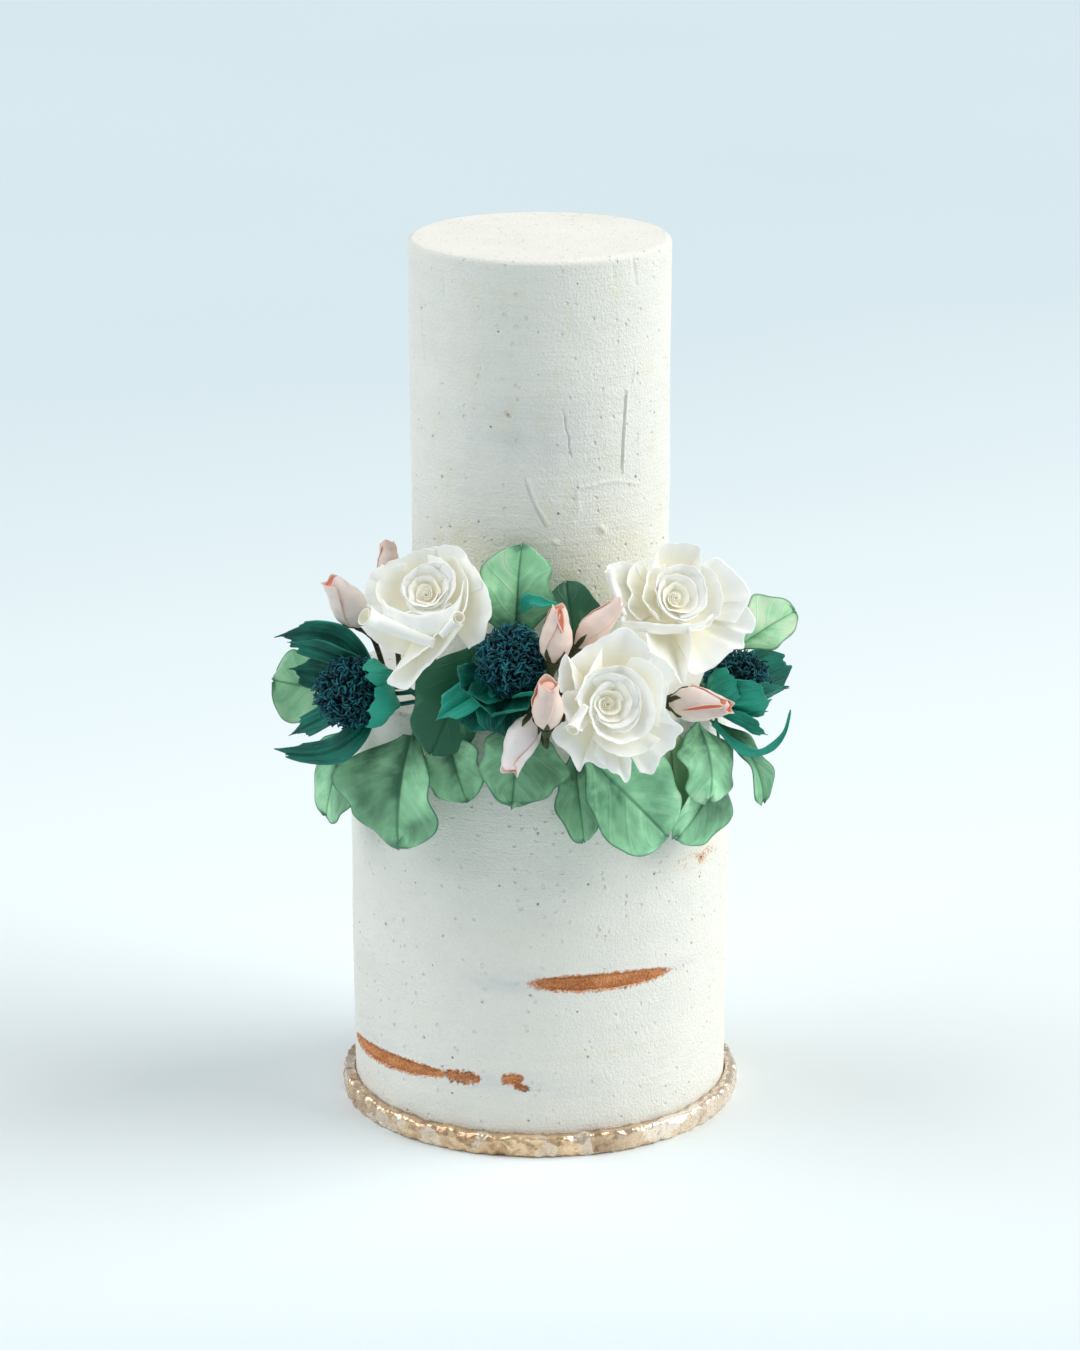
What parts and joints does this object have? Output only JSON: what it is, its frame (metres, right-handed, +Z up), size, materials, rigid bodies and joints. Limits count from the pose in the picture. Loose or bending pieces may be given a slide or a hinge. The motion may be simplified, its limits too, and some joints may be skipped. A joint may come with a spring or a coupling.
{
  "type": "wedding cake",
  "caption": "Tall tiered cake in thinly scraped buttercream with sponge showing, a spray of sugar roses, buds, thistle-like flowers and leaves on its ledge, and a gold foot border.",
  "frame": {"origin": "centre of the cake's round foot, on the surface it stands on", "axes": "+Z up along the axis of both tiers, -Y towards the front with the flowers, +X to the right seen from the front"},
  "size_m": [0.2144, 0.1986, 0.362],
  "materials": {
    "icing": "matte off-white buttercream, scraped thin, with vanilla specks and scraper lines",
    "sponge": "dry open brown crumb showing through the icing",
    "gold_paste": "crumpled sugar paste painted with satin rose-gold dust",
    "white_petal": "thin ivory-white sugar petals, matte, creamier in the depths",
    "pink_petal": "pale blush sugar petals with a coral fold",
    "leaf_green": "thin mottled sea-green sugar leaf with a darker rim",
    "bract_teal": "dark blue-green fibrous bract, brighter on its inner side",
    "fuzz_blue": "dense dark petrol-blue fibres",
    "calyx_green": "dark olive sepals and taped wire"
  },
  "bodies": {
    "root": {"top_tier": "icing", "bottom_sponge": "sponge", "bottom_icing": "icing", "gold_border": "gold_paste", "rose_left": "white_petal", "rose_front": "white_petal", "rose_right": "white_petal", "protea_left_dome": "fuzz_blue", "protea_centre_dome": "fuzz_blue", "protea_right_dome": "fuzz_blue", "bud_left_back": "pink_petal", "bud_left": "pink_petal", "bud_centre": "pink_petal", "bud_slanted": "pink_petal", "bud_open": "pink_petal", "bud_low": "pink_petal", "bud_right": "pink_petal", "protea_left_bracts": "bract_teal", "protea_centre_bracts": "bract_teal", "protea_right_bracts": "bract_teal", "bud_left_back_calyx": "calyx_green", "bud_left_calyx": "calyx_green", "bud_centre_calyx": "calyx_green", "bud_slanted_calyx": "calyx_green", "bud_open_calyx": "calyx_green", "bud_low_calyx": "calyx_green", "bud_right_calyx": "calyx_green", "rose_left_stem": "calyx_green", "rose_front_stem": "calyx_green", "rose_right_stem": "calyx_green", "leaf_upper_centre": "leaf_green", "leaf_upper_dark": "leaf_green", "leaf_right_light": "leaf_green", "leaf_far_left": "leaf_green", "leaf_low_left_back": "leaf_green", "leaf_low_left": "leaf_green", "leaf_mid_left": "leaf_green", "leaf_low_mid_left": "leaf_green", "leaf_low_centre": "leaf_green", "leaf_low_narrow": "leaf_green", "leaf_low_right": "leaf_green", "leaf_low_olive": "leaf_green", "leaf_right_curly": "leaf_green", "leaf_right_low": "leaf_green", "leaf_right_narrow": "leaf_green", "leaf_between_roses": "leaf_green"}
  },
  "joints": []
}
